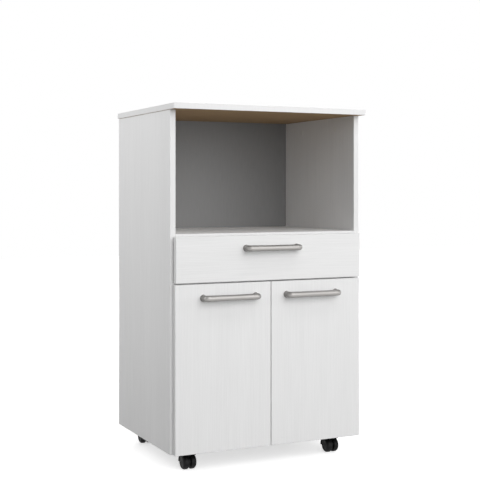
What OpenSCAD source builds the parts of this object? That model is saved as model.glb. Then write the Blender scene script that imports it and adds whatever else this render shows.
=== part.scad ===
// Kitchen cart: a laminated-board cabinet on four twin-wheel casters, with an open bay under the
// top, one drawer on roller runners and a cupboard behind two doors.
// Frame: X to the right, Y to the back, Z up. The origin is on the floor under the middle.

/* [Carcass] */
// Width over the two side panels
cart_w = 600; // [520:10:760]
// Depth of the side panels
carcass_d = 430; // [400:10:520]
// Thickness of the laminated boards
board_t = 16; // [15:1:19]
// Clear height of the open bay
bay_h = 341; // [260:1:420]
// Height of the deck edge that shows above the drawer front
deck_reveal = 7; // [4:1:12]
// How far the top runs past the side panels at the front
top_front_overhang = 36; // [10:1:45]
// How far the top runs past each side panel
top_side_overhang = 3; // [0:1:15]
// Thickness of the hardboard back
back_t = 3; // [2.5:0.5:6]
// How far the back stops short of each side panel's outer face
back_inset = 2; // [0:1:4]

/* [Doors and drawer front] */
// Height of a door
door_h = 465; // [420:5:560]
// Height of the drawer front
drawer_front_h = 127; // [122:1:160]
// Gap between the drawer front and the doors
front_gap = 4; // [3:1:6]
// Gap between the two doors
door_split = 2; // [1.5:0.5:5]
// Width of each side panel's edge that shows beside the doors
door_reveal = 8; // [6:0.5:9]
// Width of each side panel's edge that shows beside the drawer front
drawer_reveal = 9; // [6:0.5:11]
// Space between a closed door and the carcass
door_standoff = 1.5; // [1.2:0.1:3]
// Space between the closed drawer front and the carcass
drawer_standoff = 4.5; // [2:0.5:6]

/* [Drawer box] */
// Thickness of the drawer's sides and back
box_t = 12; // [11:1:15]
// Height of the drawer's sides
box_h = 84; // [70:1:86]
// Length of the drawer's sides
box_d = 385; // [370:5:390]
// Thickness of the drawer's hardboard bottom
box_bottom_t = 3; // [2.5:0.5:4]
// Depth of the groove that holds the drawer's bottom
groove_depth = 5; // [4:0.5:6]
// Height of the groove above the lower edge of the drawer's sides
groove_up = 9; // [8:1:14]
// How far the drawer's back stays below the top of the drawer's sides
box_back_drop = 10; // [5:1:20]

/* [Roller runners] */
// Space between a side panel and the drawer's side
runner_space = 12.5; // [12.5:0.5:14]
// Thickness of the runner's steel
runner_steel = 1.2; // [1:0.1:1.4]
// Length of a runner
runner_l = 350; // [330:5:360]
// Height of the runner above the divider
runner_lift = 6; // [4:1:8]
// Diameter of the nylon rollers
roller_d = 17; // [15:0.5:18]
// Width of the nylon rollers
roller_w = 5.4; // [4.5:0.1:5.6]
// Diameter of the rivet a roller turns on
roller_rivet_d = 4; // [3:0.5:5]

/* [Handles] */
// Distance between the two legs
handle_pitch = 160; // [96:1:160]
// Distance of the bar's axis from the front it stands on
handle_reach = 24.5; // [22:0.5:32]
// Diameter of the bar in its middle
handle_bar_d = 16; // [12:0.5:16.5]
// Diameter of the bar at its ends, the bends and the legs
handle_leg_d = 17; // [14:0.5:17.5]
// Diameter of the flared foot
handle_foot_d = 19.5; // [18:0.5:26]
// Bend radius between the bar and a leg
handle_bend = 9; // [9:0.5:12]
// Distance of the drawer's handle below the upper edge of the drawer front
drawer_handle_drop = 35; // [25:1:60]
// Distance of a door's handle below the upper edge of the door
door_handle_drop = 38.5; // [25:0.5:60]
// Distance from a door's free edge to the nearer leg
handle_inset = 48.5; // [30:0.5:60]

/* [Concealed hinges] */
// Diameter of the hinge cup
cup_d = 35; // [34:0.5:36]
// Depth of the hinge cup in the door
cup_depth = 11.5; // [11.2:0.1:12]
// Distance from the door's outer edge to the cup
cup_tab = 4; // [3.5:0.5:5]
// Distance from a door's upper or lower edge to the hinge
hinge_inset = 90; // [60:5:110]
// Distance of the mounting plate's screws behind the side panel's front edge
plate_setback = 37; // [32:1:40]

/* [Cupboard shelf] */
// Height of the shelf above the bottom panel
shelf_up = 215; // [190:1:240]
// How far the shelf stays behind the side panels' front edges
shelf_setback = 22; // [15:1:40]
// Pitch of the shelf pin holes
pin_pitch = 32; // [25:1:40]
// Diameter of a shelf pin
pin_d = 5; // [4:0.5:6]

/* [Casters] */
// Height of a caster from the floor to the bottom panel
caster_h = 55; // [54:1:62]
// Diameter of a wheel
wheel_d = 42; // [38:1:43]
// Width of one wheel
wheel_w = 16.5; // [14:0.5:18]
// Width of a wheel's flat tread
wheel_tread_w = 5.5; // [4:0.5:6]
// Gap between the two wheels of a caster
wheel_gap = 7; // [6:0.5:9]
// Distance from the swivel axis to the wheel axle
caster_trail = 15; // [14:0.5:17]
// Distance from a side panel's outer face to the swivel axis
caster_inset_x = 71; // [60:1:90]
// Distance from the carcass's front or back to the swivel axis
caster_inset_y = 60; // [50:1:75]
// Side of the square mounting plate
caster_plate_w = 40; // [38:1:44]
// Thickness of the mounting plate
caster_plate_t = 2.5; // [2:0.1:3]
// Diameter of the swivel pin
swivel_pin_d = 8; // [6:0.5:9]
// Diameter of the axle
axle_d = 6; // [5:0.5:7]

/* [Board fittings] */
// Diameter of a cam lock
cam_d = 15; // [12:1:16]
// Depth of a cam lock's bore
cam_depth = 12.5; // [12:0.5:13.5]
// Distance from the joint to the cam's centre
cam_reach = 34; // [28:1:40]
// Diameter of a dowel
dowel_d = 8; // [6:1:8]
// Length of a dowel
dowel_l = 30; // [25:1:35]
// Distance of the first fitting from the front or back of a board
fitting_inset = 110; // [106:1:125]
// Distance between a cam bolt and the dowel beside it
fitting_step = 32; // [20:1:40]

/* [Hidden] */

white_laminate = "#f2f2f0";
hardboard_white = "#e6e6e3";
hardboard_brown = "#8a6a4c";
satin_nickel = "#b4b2ae";
zinc = "#c4c6c8";
epoxy_white = "#ececea";
nylon_white = "#f6f6f4";
cap_white = "#efefec";
caster_black = "#1a1a1a";
dowel_wood = "#d9b98a";

cut = 1; // how far a cutting tool runs past the face it opens
slip = 0.05; // clearance all round a pin, screw or dowel in its hole
$fn = 32;

// Heights, from the floor up
z_base = caster_h;
z_door_top = z_base + door_h;
z_drawer_bottom = z_door_top + front_gap;
z_drawer_top = z_drawer_bottom + drawer_front_h;
z_deck_top = z_drawer_top + deck_reveal;
z_side_top = z_deck_top + bay_h;
z_top = z_side_top + board_t;
z_divider_mid = z_door_top + front_gap / 2;
z_bottom_mid = z_base + board_t / 2;
z_deck_mid = z_deck_top - board_t / 2;
cross_mids = [z_bottom_mid, z_divider_mid, z_deck_mid];

// Widths, from the middle out
half_w = cart_w / 2;
inner_w = half_w - board_t;
door_outer_x = half_w - door_reveal;
door_inner_x = door_split / 2;
box_outer_x = inner_w - runner_space;
box_inner_x = box_outer_x - box_t;

// Depths, from the side panels' front edges back
door_front_y = -door_standoff - board_t;
drawer_back_y = -drawer_standoff;
drawer_front_y = drawer_back_y - board_t;
box_rear_y = drawer_back_y + box_d;
back_y = carcass_d + back_t;
handle_depth = handle_reach + handle_leg_d / 2;
front_y = -max(top_front_overhang, board_t + handle_depth + max(drawer_standoff, door_standoff));
origin_y = (front_y + back_y) / 2;

// Runner and drawer box heights
z_runner = z_divider_mid + board_t / 2 + runner_lift;
channel_clear = 2.6; // space above the rear roller in its channel
channel_h = roller_d + channel_clear + 2 * runner_steel;
z_rear_roller = z_runner + runner_steel + roller_d / 2 + slip;
flange_gap = 2; // space between the channel and the drawer member's flange above it
z_flange = z_runner + channel_h + flange_gap;
z_front_roller = z_flange - roller_d / 2 - slip;
sole_up = 2; // height of the drawer member's sole above the runner's foot
z_box = z_runner + sole_up + runner_steel;
z_groove = z_box + groove_up;
groove_h = box_bottom_t + 0.3;

// Runner plan: u counts from the side panel's inner face towards the drawer
roller_u = 3.2; // near face of both rollers
lip_u = 9.3; // near face of the channel's lip
lip_h = 4; // height of the channel's lip
member_clear = 0.8; // running gap between the two members
runner_start = 2; // front end of the cabinet member
member_start = 1.5; // front end of the drawer member behind the drawer front
front_roller_y = 20;
roller_end = 12; // distance of the rear roller's rivet from the drawer member's end
rear_roller_y = drawer_back_y + member_start + runner_l - roller_end;
runner_screw_ys = [for (share = [0.17, 0.71]) runner_start + share * runner_l];
member_screw_ys = [for (share = [0.12, 0.66]) drawer_back_y + member_start + share * runner_l];
runner_screw_r = 1.8;
runner_screw_bite = 10; // length of a runner screw in the side panel
member_screw_r = 1.6;
member_screw_l = 9;
roller_bevel = 0.6;

// Drawer box fittings
box_cam_r = 6;
box_cam_depth = 9.5;
box_cam_reach = 24; // distance from the drawer front to a cam's centre
box_bolt_clear_r = 3.2; // the bolt's way through a drawer side
box_bolt_ups = [box_h * 0.36, box_h * 0.8];
box_bolt_x = box_outer_x - box_t / 2;
box_screw_ups = [box_h * 0.35, box_h * 0.7];
box_screw_r = 2;
box_screw_bite = 24; // length of a screw in the drawer's back

// Board fittings
cam_r = cam_d / 2;
dowel_r = dowel_d / 2;
cam_cap_r = cam_r + 1.5;
cam_cap_t = 0.8;
bolt_r = 3; // shank of a cam bolt
bolt_thread_r = 2.5;
bolt_bite = 11; // length of a cam bolt's thread in the far board
bolt_hole_r = 4;
dowel_bite = 10; // length of a dowel in the face of the far board
bolt_ys = [fitting_inset, carcass_d - fitting_inset];
dowel_ys = [fitting_inset + fitting_step, carcass_d - fitting_inset - fitting_step];

// Back nails
nail_r = 0.9;
nail_l = 16;
nail_head_r = 2.3;
nail_head_t = 0.8;
nail_rows = 6; // nails up each side panel
nail_margin = 40;
nail_pitch = (z_side_top - z_base - 2 * nail_margin) / (nail_rows - 1);
nail_xs = [-half_w / 2, 0, half_w / 2];

// Shelf
shelf_slack = 1; // gap between the shelf and each side panel
z_pin = z_base + board_t + shelf_up;
pin_r = pin_d / 2;
pin_bite = 9; // length of a pin in the side panel
pin_reach = 9; // length of a pin under the shelf
pin_ys = [shelf_setback + 30, carcass_d - 42];

// Hinges: u counts from the side panel's inner face, as for the runners
cup_r = cup_d / 2;
cup_wall = 1;
cup_flange_t = 1;
cup_ear_pitch = 48;
cup_ear_r = 5;
cup_x = door_outer_x - cup_tab - cup_r;
hinge_zs = [z_base + hinge_inset, z_door_top - hinge_inset];
cup_screw_r = 1.6;
cup_screw_l = 10;
well_l = 26; // the hollow in the cup, along the door's width
well_h = 18; // the hollow in the cup, along the door's height
link_r = 1.8;
link_pin_r = 1;
outer_pin = [-cup_r + 7.5, -5.8];
inner_pin = [-cup_r + 11.2, -cup_depth + cup_wall + link_r + 0.2];
plate_l = 38;
plate_t = 2.5;
plate_h = 18;
plate_ear_h = 44;
plate_rail_t = 3.5;
plate_screw_pitch = 32;
plate_screw_r = 2.5;
plate_screw_bite = 10; // length of a mounting plate's screw in the side panel
adjust_screw_r = 2.5;
adjust_screw_y = plate_setback + 15; // the screw that clamps an arm on its plate
arm_h = 17; // the arm's height along Z
arm_steel = 1.5;
arm_nose_y = 1;
arm_l = 72;

// Handles
handle_screw_r = 2;
handle_screw_bite = min(10, handle_reach - handle_bend - 2); // length of a screw in a leg
handle_screw_head_r = 4;
handle_screw_head_t = 2.5;
drawer_handle_z = z_drawer_top - drawer_handle_drop;
door_handle_z = z_door_top - door_handle_drop;
handle_x = door_inner_x + handle_inset + handle_pitch / 2;

// Casters
wheel_r = wheel_d / 2;
axle_r = axle_d / 2;
swivel_pin_r = swivel_pin_d / 2;
web_r = wheel_r - 6.5;
web_t = wheel_gap - 1;
hood_gap = 1.3; // space between the wheels and the hood
hood_t = 1.9;
hood_w = wheel_gap + 2 * wheel_w - 2;
hood_from = -8; // hood's lower end, in degrees from the horizontal behind the axle
hood_to = 122; // hood's upper end, over the wheels
boss_r = swivel_pin_r + 4;
pin_collar_t = 0.8;
z_boss_top = caster_h - caster_plate_t - pin_collar_t - 0.2;
pin_engage = 9; // length of the swivel pin in the boss
axle_end_gap = 0.3; // space between an axle's end and the wheel's blind bore
caster_screw_r = 2;
caster_screw_l = 12;
caster_screw_head_r = 3.6;
caster_screw_head_t = 1.8;
caster_hole_pitch = caster_plate_w - 12;
wheel_rim_r = 13; // radius where a wheel's domed side ends
wheel_edge_r = 3; // rounding between a wheel's tread and its inner face
wheel_dish = 0.9; // depth of the recess round the hub
wheel_cap_t = 1.5; // what closes the axle bore on the outer face

// A box from its lowest corner to its highest
module block(lo, hi) {
    translate(lo)
        cube(hi - lo);
}

// A round rod or hole that starts at p and runs l along v, one of the six axis directions
module rod(p, v, r, l) {
    turn = v.x != 0 ? [0, 90 * v.x, 0] : v.y != 0 ? [-90 * v.y, 0, 0] : [90 - 90 * v.z, 0, 0];
    translate(p)
        rotate(turn)
            cylinder(r = r, h = l);
}

// Sweeps a profile drawn in X and Z from y0 to y1
module along_y(y0, y1) {
    translate([0, y1, 0])
        rotate([90, 0, 0])
            linear_extrude(y1 - y0)
                children();
}

// Puts what is drawn for the left side on the left (-1) or the right (1)
module on_side(side) {
    mirror([side > 0 ? 1 : 0, 0, 0])
        children();
}

// Shifts a sub-part drawn from the carcass's front edge into the cart's own frame
module placed(tint) {
    color(tint)
        translate([0, -origin_y, 0])
            children();
}

// ---- Board fittings ----

// Holes for the nails in the back and in the boards behind it; grow opens the heads' seats too
module nail_tools(with_seats) {
    for (side = [-1, 1], i = [0 : nail_rows - 1]) {
        nail_tool([side * (half_w - board_t / 2), back_y, z_base + nail_margin + i * nail_pitch],
            with_seats);
    }
    for (z = cross_mids, x = nail_xs) {
        nail_tool([x, back_y, z], with_seats);
    }
}

module nail_tool(p, with_seat) {
    rod(p, [0, -1, 0], nail_r + slip, nail_l + slip);
    if (with_seat)
        rod([p.x, p.y + cut, p.z], [0, -1, 0], nail_head_r + slip, nail_head_t + cut);
}

module nail(p) {
    rod(p, [0, -1, 0], nail_r, nail_l);
    rod(p, [0, -1, 0], nail_head_r, nail_head_t);
}

// A cam lock about the origin: its face at z = 0, its body below, its slot open towards +X
module cam_lock() {
    body = cam_depth - 0.3;
    difference() {
        translate([0, 0, -body])
            cylinder(r = cam_r - slip, h = body);
        block([-2, -bolt_r - 0.6, -body - cut], [cam_r + cut, bolt_r + 0.6, -body / 2 + 4.5]);
        block([-4, -0.6, -1.5], [4, 0.6, cut]);
        block([-0.6, -4, -1.5], [0.6, 4, cut]);
    }
}

// A cam bolt from the joint at the origin: thread along +X, shank and head along -X
module cam_bolt() {
    reach = cam_reach - 1.5;
    rod([0, 0, 0], [1, 0, 0], bolt_thread_r, bolt_bite);
    rod([-reach, 0, 0], [1, 0, 0], bolt_r - 0.8, reach);
    rod([-reach, 0, 0], [1, 0, 0], bolt_r, 2.5);
    rod([-2.5, 0, 0], [1, 0, 0], bolt_r, 2.5);
}

// The holes of one cross board's joints in a side panel's inner face, drawn for the left
module joint_holes(z) {
    for (y = bolt_ys)
        rod([-inner_w + cut, y, z], [-1, 0, 0], bolt_thread_r + slip, bolt_bite + cut + slip);
    for (y = dowel_ys)
        rod([-inner_w + cut, y, z], [-1, 0, 0], dowel_r + slip, dowel_bite + cut + slip);
}

// ---- Carcass ----

module side_panel() {
    mid_x = -half_w + board_t / 2;
    difference() {
        block([-half_w, 0, z_base], [-inner_w, carcass_d, z_side_top]);
        for (z = cross_mids)
            joint_holes(z);
        for (y = bolt_ys) {
            rod([-inner_w + cut, y, z_side_top - cam_reach], [-1, 0, 0], cam_r, cam_depth + cut);
            rod([mid_x, y, z_side_top + cut], [0, 0, -1], bolt_hole_r, cam_reach);
        }
        for (y = dowel_ys)
            rod([mid_x, y, z_side_top + cut], [0, 0, -1], dowel_r + slip,
                dowel_l - dowel_bite + cut + slip);
        for (y = pin_ys, i = [-1, 0, 1])
            rod([-inner_w + cut, y, z_pin - pin_r + i * pin_pitch], [-1, 0, 0], pin_r + slip,
                pin_bite + cut + slip);
        for (z = hinge_zs, i = [-1, 1])
            rod([-inner_w + cut, plate_setback, z + i * plate_screw_pitch / 2], [-1, 0, 0],
                plate_screw_r + slip, plate_screw_bite + cut + slip);
        for (y = runner_screw_ys)
            rod([-inner_w + cut, y, z_rear_roller], [-1, 0, 0], runner_screw_r + slip,
                runner_screw_bite + cut + slip);
        nail_tools(false);
    }
}

// A board across the carcass, with cams let into its underside and nails in its back edge
module cross_board(z) {
    difference() {
        block([-inner_w, 0, z - board_t / 2], [inner_w, carcass_d, z + board_t / 2]);
        for (side = [-1, 1]) {
            for (y = bolt_ys) {
                rod([side * (inner_w - cam_reach), y, z - board_t / 2 - cut], [0, 0, 1], cam_r,
                    cam_depth + cut);
                rod([side * (inner_w + cut), y, z], [-side, 0, 0], bolt_hole_r, cam_reach + cut);
            }
            for (y = dowel_ys)
                rod([side * (inner_w + cut), y, z], [-side, 0, 0], dowel_r + slip,
                    dowel_l - dowel_bite + cut + slip);
        }
        nail_tools(false);
    }
}

module bottom_board() {
    difference() {
        cross_board(z_bottom_mid);
        for (at = caster_places)
            translate([at.x, at.y, z_base])
                caster_hole_places()
                    rod([0, 0, -cut], [0, 0, 1], caster_screw_r + slip, caster_screw_l + cut + slip);
    }
}

module top_board() {
    difference() {
        block([-half_w - top_side_overhang, -top_front_overhang, z_side_top],
            [half_w + top_side_overhang, back_y, z_top]);
        for (side = [-1, 1]) {
            for (y = bolt_ys)
                rod([side * (half_w - board_t / 2), y, z_side_top - cut], [0, 0, 1],
                    bolt_thread_r + slip, bolt_bite + cut + slip);
            for (y = dowel_ys)
                rod([side * (half_w - board_t / 2), y, z_side_top - cut], [0, 0, 1],
                    dowel_r + slip, dowel_bite + cut + slip);
        }
    }
}

module back_board() {
    difference() {
        block([-half_w + back_inset, carcass_d, z_base], [half_w - back_inset, back_y, z_side_top]);
        nail_tools(true);
    }
}

module back_nail_set() {
    for (side = [-1, 1], i = [0 : nail_rows - 1])
        nail([side * (half_w - board_t / 2), back_y, z_base + nail_margin + i * nail_pitch]);
    for (z = cross_mids, x = nail_xs)
        nail([x, back_y, z]);
}

module shelf_board() {
    block([-inner_w + shelf_slack, shelf_setback, z_pin],
        [inner_w - shelf_slack, carcass_d - shelf_slack, z_pin + board_t]);
}

// A shelf pin: a peg in the side panel, a collar against it and a seat under the shelf
module shelf_pin_set() {
    for (side = [-1, 1], y = pin_ys) {
        on_side(side)
            translate([-inner_w, y, z_pin - pin_r]) {
                rod([-pin_bite, 0, 0], [1, 0, 0], pin_r, pin_bite + pin_reach);
                difference() {
                    rod([0, 0, 0], [1, 0, 0], pin_r + 1.5, shelf_slack + 0.6);
                    block([-cut, -pin_d, pin_r], [pin_reach, pin_d, pin_d]);
                }
            }
    }
}

// Puts what is drawn about the origin, facing +Z, at each cam, with +X towards the cam's bolt
module at_cams() {
    for (side = [-1, 1], y = bolt_ys) {
        on_side(side) {
            for (z = cross_mids)
                translate([-inner_w + cam_reach, y, z - board_t / 2])
                    rotate([180, 0, 180])
                        children();
            translate([-inner_w, y, z_side_top - cam_reach])
                rotate([0, 90, 0])
                    rotate([0, 0, 180])
                        children();
        }
    }
}

// A stick-on cap over a cam, with a softened edge
module cam_cap() {
    rotate_extrude()
        polygon([[0, 0], [cam_cap_r, 0], [cam_cap_r - 0.4, cam_cap_t], [0, cam_cap_t]]);
}

module cam_bolt_set() {
    for (side = [-1, 1], y = bolt_ys) {
        on_side(side) {
            for (z = cross_mids)
                translate([-inner_w, y, z])
                    rotate([0, 0, 180])
                        cam_bolt();
            translate([-half_w + board_t / 2, y, z_side_top])
                rotate([0, -90, 0])
                    cam_bolt();
        }
    }
}

module dowel_set() {
    inside = dowel_l - dowel_bite;
    for (side = [-1, 1], y = dowel_ys) {
        on_side(side) {
            for (z = cross_mids)
                rod([-inner_w - dowel_bite, y, z], [1, 0, 0], dowel_r, dowel_l);
            rod([-half_w + board_t / 2, y, z_side_top - inside], [0, 0, 1], dowel_r, dowel_l);
        }
    }
}

// ---- Roller runners, drawn for the left ----

module at_runner() {
    translate([-inner_w, 0, 0])
        children();
}

module cabinet_runner() {
    lip_end = lip_u + runner_steel;
    flange_from = front_roller_y + roller_d / 2 + 5;
    at_runner() {
        difference() {
            union() {
                along_y(runner_start, runner_start + runner_l)
                    translate([0, z_runner]) {
                        square([runner_steel, channel_h + flange_gap + runner_steel]);
                        square([lip_end, runner_steel]);
                        translate([lip_u, 0])
                            square([runner_steel, lip_h]);
                    }
                along_y(flange_from, runner_start + runner_l)
                    translate([0, z_runner + channel_h - runner_steel])
                        square([lip_u, runner_steel]);
            }
            for (y = runner_screw_ys)
                rod([-cut, y, z_rear_roller], [1, 0, 0], runner_screw_r + slip,
                    runner_steel + 2 * cut);
        }
        rod([runner_steel, front_roller_y, z_front_roller], [1, 0, 0], roller_rivet_d / 2,
            roller_u + roller_w + 0.6 - runner_steel);
    }
}

module runner_screws() {
    for (y = runner_screw_ys) {
        rod([-runner_screw_bite, y, z_rear_roller], [1, 0, 0], runner_screw_r,
            runner_screw_bite + runner_steel);
        rod([runner_steel, y, z_rear_roller], [1, 0, 0], 3.4, 1.4);
    }
}

module drawer_runner() {
    web_u = runner_space - runner_steel;
    start = drawer_back_y + member_start;
    at_runner() {
        difference() {
            along_y(start, start + runner_l) {
                translate([web_u, z_runner + sole_up])
                    square([runner_steel, z_flange - z_runner - sole_up + runner_steel]);
                translate([web_u, z_runner + sole_up])
                    square([runner_steel + box_t, runner_steel]);
                translate([runner_steel + member_clear, z_flange])
                    square([web_u - member_clear, runner_steel]);
            }
            for (y = member_screw_ys)
                rod([web_u - cut, y, z_rear_roller], [1, 0, 0], member_screw_r + slip,
                    runner_steel + 2 * cut);
        }
        rod([roller_u - 0.6, rear_roller_y, z_rear_roller], [1, 0, 0], roller_rivet_d / 2,
            web_u - roller_u + 0.6);
    }
}

// A nylon roller with bevelled edges
module roller(y, z) {
    at_runner()
        translate([roller_u, y, z])
            rotate([0, 90, 0])
                rotate_extrude()
                    polygon([
                        [roller_rivet_d / 2 + slip, 0], [roller_d / 2 - roller_bevel, 0],
                        [roller_d / 2, roller_bevel], [roller_d / 2, roller_w - roller_bevel],
                        [roller_d / 2 - roller_bevel, roller_w],
                        [roller_rivet_d / 2 + slip, roller_w],
                    ]);
}

// The rollers on the cabinet's runners, under the drawer's flanges
module front_roller_set() {
    for (side = [-1, 1])
        on_side(side)
            roller(front_roller_y, z_front_roller);
}

// The rollers on the drawer's runners, in the cabinet's channels
module rear_roller_set() {
    for (side = [-1, 1])
        on_side(side)
            roller(rear_roller_y, z_rear_roller);
}

// ---- Drawer ----

module drawer_front_board() {
    difference() {
        block([-half_w + drawer_reveal, drawer_front_y, z_drawer_bottom],
            [half_w - drawer_reveal, drawer_back_y, z_drawer_top]);
        block([-box_inner_x - groove_depth, drawer_back_y - groove_depth, z_groove],
            [box_inner_x + groove_depth, drawer_back_y + cut, z_groove + groove_h]);
        for (side = [-1, 1]) {
            rod([side * handle_pitch / 2, drawer_front_y - cut, drawer_handle_z],
                [0, 1, 0], handle_screw_r + slip, board_t + 2 * cut);
            for (up = box_bolt_ups)
                rod([side * box_bolt_x, drawer_back_y + cut, z_box + up], [0, -1, 0],
                    bolt_thread_r + slip, bolt_bite + cut + slip);
        }
    }
}

module drawer_side() {
    difference() {
        block([-box_outer_x, drawer_back_y, z_box], [-box_inner_x, box_rear_y, z_box + box_h]);
        block([-box_inner_x - groove_depth, drawer_back_y - cut, z_groove],
            [-box_inner_x + cut, box_rear_y + cut, z_groove + groove_h]);
        for (up = box_bolt_ups) {
            rod([-box_inner_x + cut, drawer_back_y + box_cam_reach, z_box + up], [-1, 0, 0],
                box_cam_r, box_cam_depth + cut);
            rod([-box_bolt_x, drawer_back_y - cut, z_box + up], [0, 1, 0], box_bolt_clear_r,
                box_cam_reach + cut);
        }
        for (y = member_screw_ys)
            rod([-box_outer_x - cut, y, z_rear_roller], [1, 0, 0], member_screw_r + slip,
                member_screw_l + cut);
        for (up = box_screw_ups)
            rod([-box_outer_x - cut, box_rear_y - box_t / 2, z_box + up], [1, 0, 0],
                box_screw_r + slip, box_t + 2 * cut);
    }
}

module drawer_back_board() {
    difference() {
        block([-box_inner_x, box_rear_y - box_t, z_groove + box_bottom_t],
            [box_inner_x, box_rear_y, z_box + box_h - box_back_drop]);
        for (side = [-1, 1], up = box_screw_ups)
            rod([side * (box_inner_x + cut), box_rear_y - box_t / 2, z_box + up], [-side, 0, 0],
                box_screw_r + slip, box_screw_bite + cut + slip);
    }
}

module drawer_bottom_board() {
    side_play = 0.3;
    block([-box_inner_x - groove_depth + side_play, drawer_back_y - groove_depth + side_play,
        z_groove], [box_inner_x + groove_depth - side_play, box_rear_y, z_groove + box_bottom_t]);
}

module drawer_fastener_set() {
    translate([0, drawer_front_y, drawer_handle_z])
        handle_screws();
    for (side = [-1, 1]) {
        on_side(side) {
            for (up = box_bolt_ups) {
                difference() {
                    rod([-box_inner_x, drawer_back_y + box_cam_reach, z_box + up], [-1, 0, 0],
                        box_cam_r - slip, box_cam_depth - 0.3);
                    block([-box_outer_x, drawer_back_y, z_box + up - 2.8],
                        [-box_inner_x - 2, drawer_back_y + box_cam_reach + 1.5, z_box + up + 2.8]);
                }
                rod([-box_bolt_x, drawer_back_y - bolt_bite, z_box + up], [0, 1, 0],
                    bolt_thread_r, bolt_bite + box_cam_reach);
            }
            for (y = member_screw_ys) {
                rod([-box_outer_x - runner_steel, y, z_rear_roller], [1, 0, 0], member_screw_r,
                    member_screw_l);
                rod([-box_outer_x - runner_steel, y, z_rear_roller], [-1, 0, 0], 3, 1.2);
            }
            for (up = box_screw_ups) {
                rod([-box_outer_x, box_rear_y - box_t / 2, z_box + up], [1, 0, 0], box_screw_r,
                    box_t + box_screw_bite);
                rod([-box_outer_x, box_rear_y - box_t / 2, z_box + up], [-1, 0, 0], 4, 1.5);
            }
        }
    }
}

// ---- Handles ----

// The flared foot and leg as one revolved profile, from the face at y = 0 towards -Y
module handle_leg() {
    leg_r = handle_leg_d / 2;
    foot_r = handle_foot_d / 2;
    flare = [for (a = [0 : 15 : 90])
        [leg_r + (foot_r - leg_r) * (1 - sin(a)), 1.2 + 6 * (1 - cos(a))]];
    rotate([90, 0, 0])
        rotate_extrude($fn = 48)
            polygon(concat(
                [[handle_screw_r + slip, 0], [foot_r - 0.4, 0], [foot_r, 0.4]],
                flare,
                [[leg_r, handle_reach - handle_bend], [0, handle_reach - handle_bend],
                    [0, handle_screw_bite + 1], [handle_screw_r + slip, handle_screw_bite + 1]]));
}

// The bar, waisted towards its middle, as one revolved profile along X
module handle_bar() {
    half_l = handle_pitch / 2 - handle_bend;
    waist = (handle_leg_d - handle_bar_d) / 2;
    rotate([0, 90, 0])
        rotate_extrude($fn = 48)
            polygon(concat(
                [[0, -half_l]],
                [for (i = [-8 : 8]) [handle_leg_d / 2 - waist * cos(i * 90 / 8), half_l * i / 8]],
                [[0, half_l]]));
}

module handle_elbow() {
    rotate([0, 0, -90])
        rotate_extrude(angle = 90, $fn = 48)
            translate([handle_bend, 0])
                circle(d = handle_leg_d);
}

// A handle on a face at y = 0, about its middle, standing out towards -Y
module handle() {
    for (side = [-1, 1])
        on_side(-side) {
            translate([handle_pitch / 2, 0, 0])
                handle_leg();
            translate([handle_pitch / 2 - handle_bend, -handle_reach + handle_bend, 0])
                handle_elbow();
        }
    translate([0, -handle_reach, 0])
        handle_bar();
}

module drawer_handle_set() {
    translate([0, drawer_front_y, drawer_handle_z])
        handle();
}

module door_handle() {
    translate([-handle_x, door_front_y, door_handle_z])
        handle();
}

// The two screws of a handle, from the back of a board as thick as the fronts
module handle_screws() {
    for (side = [-1, 1])
        translate([side * handle_pitch / 2, board_t, 0]) {
            rod([0, 0, 0], [0, -1, 0], handle_screw_r, board_t + handle_screw_bite);
            difference() {
                rod([0, 0, 0], [0, 1, 0], handle_screw_head_r, handle_screw_head_t);
                block([-3, handle_screw_head_t - 1, -0.5], [3, handle_screw_head_t + cut, 0.5]);
                block([-0.5, handle_screw_head_t - 1, -3], [0.5, handle_screw_head_t + cut, 3]);
            }
        }
}

// ---- Doors and hinges, drawn for the left ----

module door_board() {
    back = -door_standoff;
    difference() {
        block([-door_outer_x, door_front_y, z_base], [-door_inner_x, back, z_door_top]);
        for (z = hinge_zs) {
            rod([-cup_x, back + cut, z], [0, -1, 0], cup_r + slip, cup_depth + cut + slip);
            for (i = [-1, 1])
                rod([-cup_x, back + cut, z + i * cup_ear_pitch / 2], [0, -1, 0],
                    cup_screw_r + slip, cup_screw_l + cut);
        }
        for (i = [-1, 1])
            rod([-handle_x + i * handle_pitch / 2, door_front_y - cut, door_handle_z], [0, 1, 0],
                handle_screw_r + slip, board_t + 2 * cut);
    }
}

// The cup with its screw flange and the hollow that takes the links
module hinge_cup() {
    well_floor = cup_depth - cup_wall;
    difference() {
        union() {
            rod([0, 0, 0], [0, -1, 0], cup_r, cup_depth);
            rod([0, 0, 0], [0, 1, 0], cup_r, cup_flange_t);
            block([-cup_ear_r, 0, -cup_ear_pitch / 2], [cup_ear_r, cup_flange_t, cup_ear_pitch / 2]);
            for (i = [-1, 1])
                rod([0, 0, i * cup_ear_pitch / 2], [0, 1, 0], cup_ear_r, cup_flange_t);
        }
        block([-well_l / 2, -well_floor, -well_h / 2],
            [well_l / 2, cup_flange_t + cut, well_h / 2]);
        for (i = [-1, 1])
            rod([0, -cut, i * cup_ear_pitch / 2], [0, 1, 0], cup_screw_r + slip,
                cup_flange_t + 2 * cut);
    }
}

// A flat link in plan, from pivot a to free end b, between heights z0 and z1
module hinge_link(a, b, z0, z1) {
    run = norm(b - a);
    translate([a.x, a.y, z0])
        rotate([0, 0, atan2(b.y - a.y, b.x - a.x)])
            difference() {
                union() {
                    cylinder(r = link_r, h = z1 - z0);
                    translate([run, 0, 0])
                        cylinder(r = link_r, h = z1 - z0);
                    block([0, -link_r, 0], [run, link_r, z1 - z0]);
                }
                translate([0, 0, -cut])
                    cylinder(r = link_pin_r + slip, h = z1 - z0 + 2 * cut);
            }
}

module hinge_link_pin(at) {
    translate([at.x, at.y, -well_h / 2])
        cylinder(r = link_pin_r, h = well_h);
}

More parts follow.
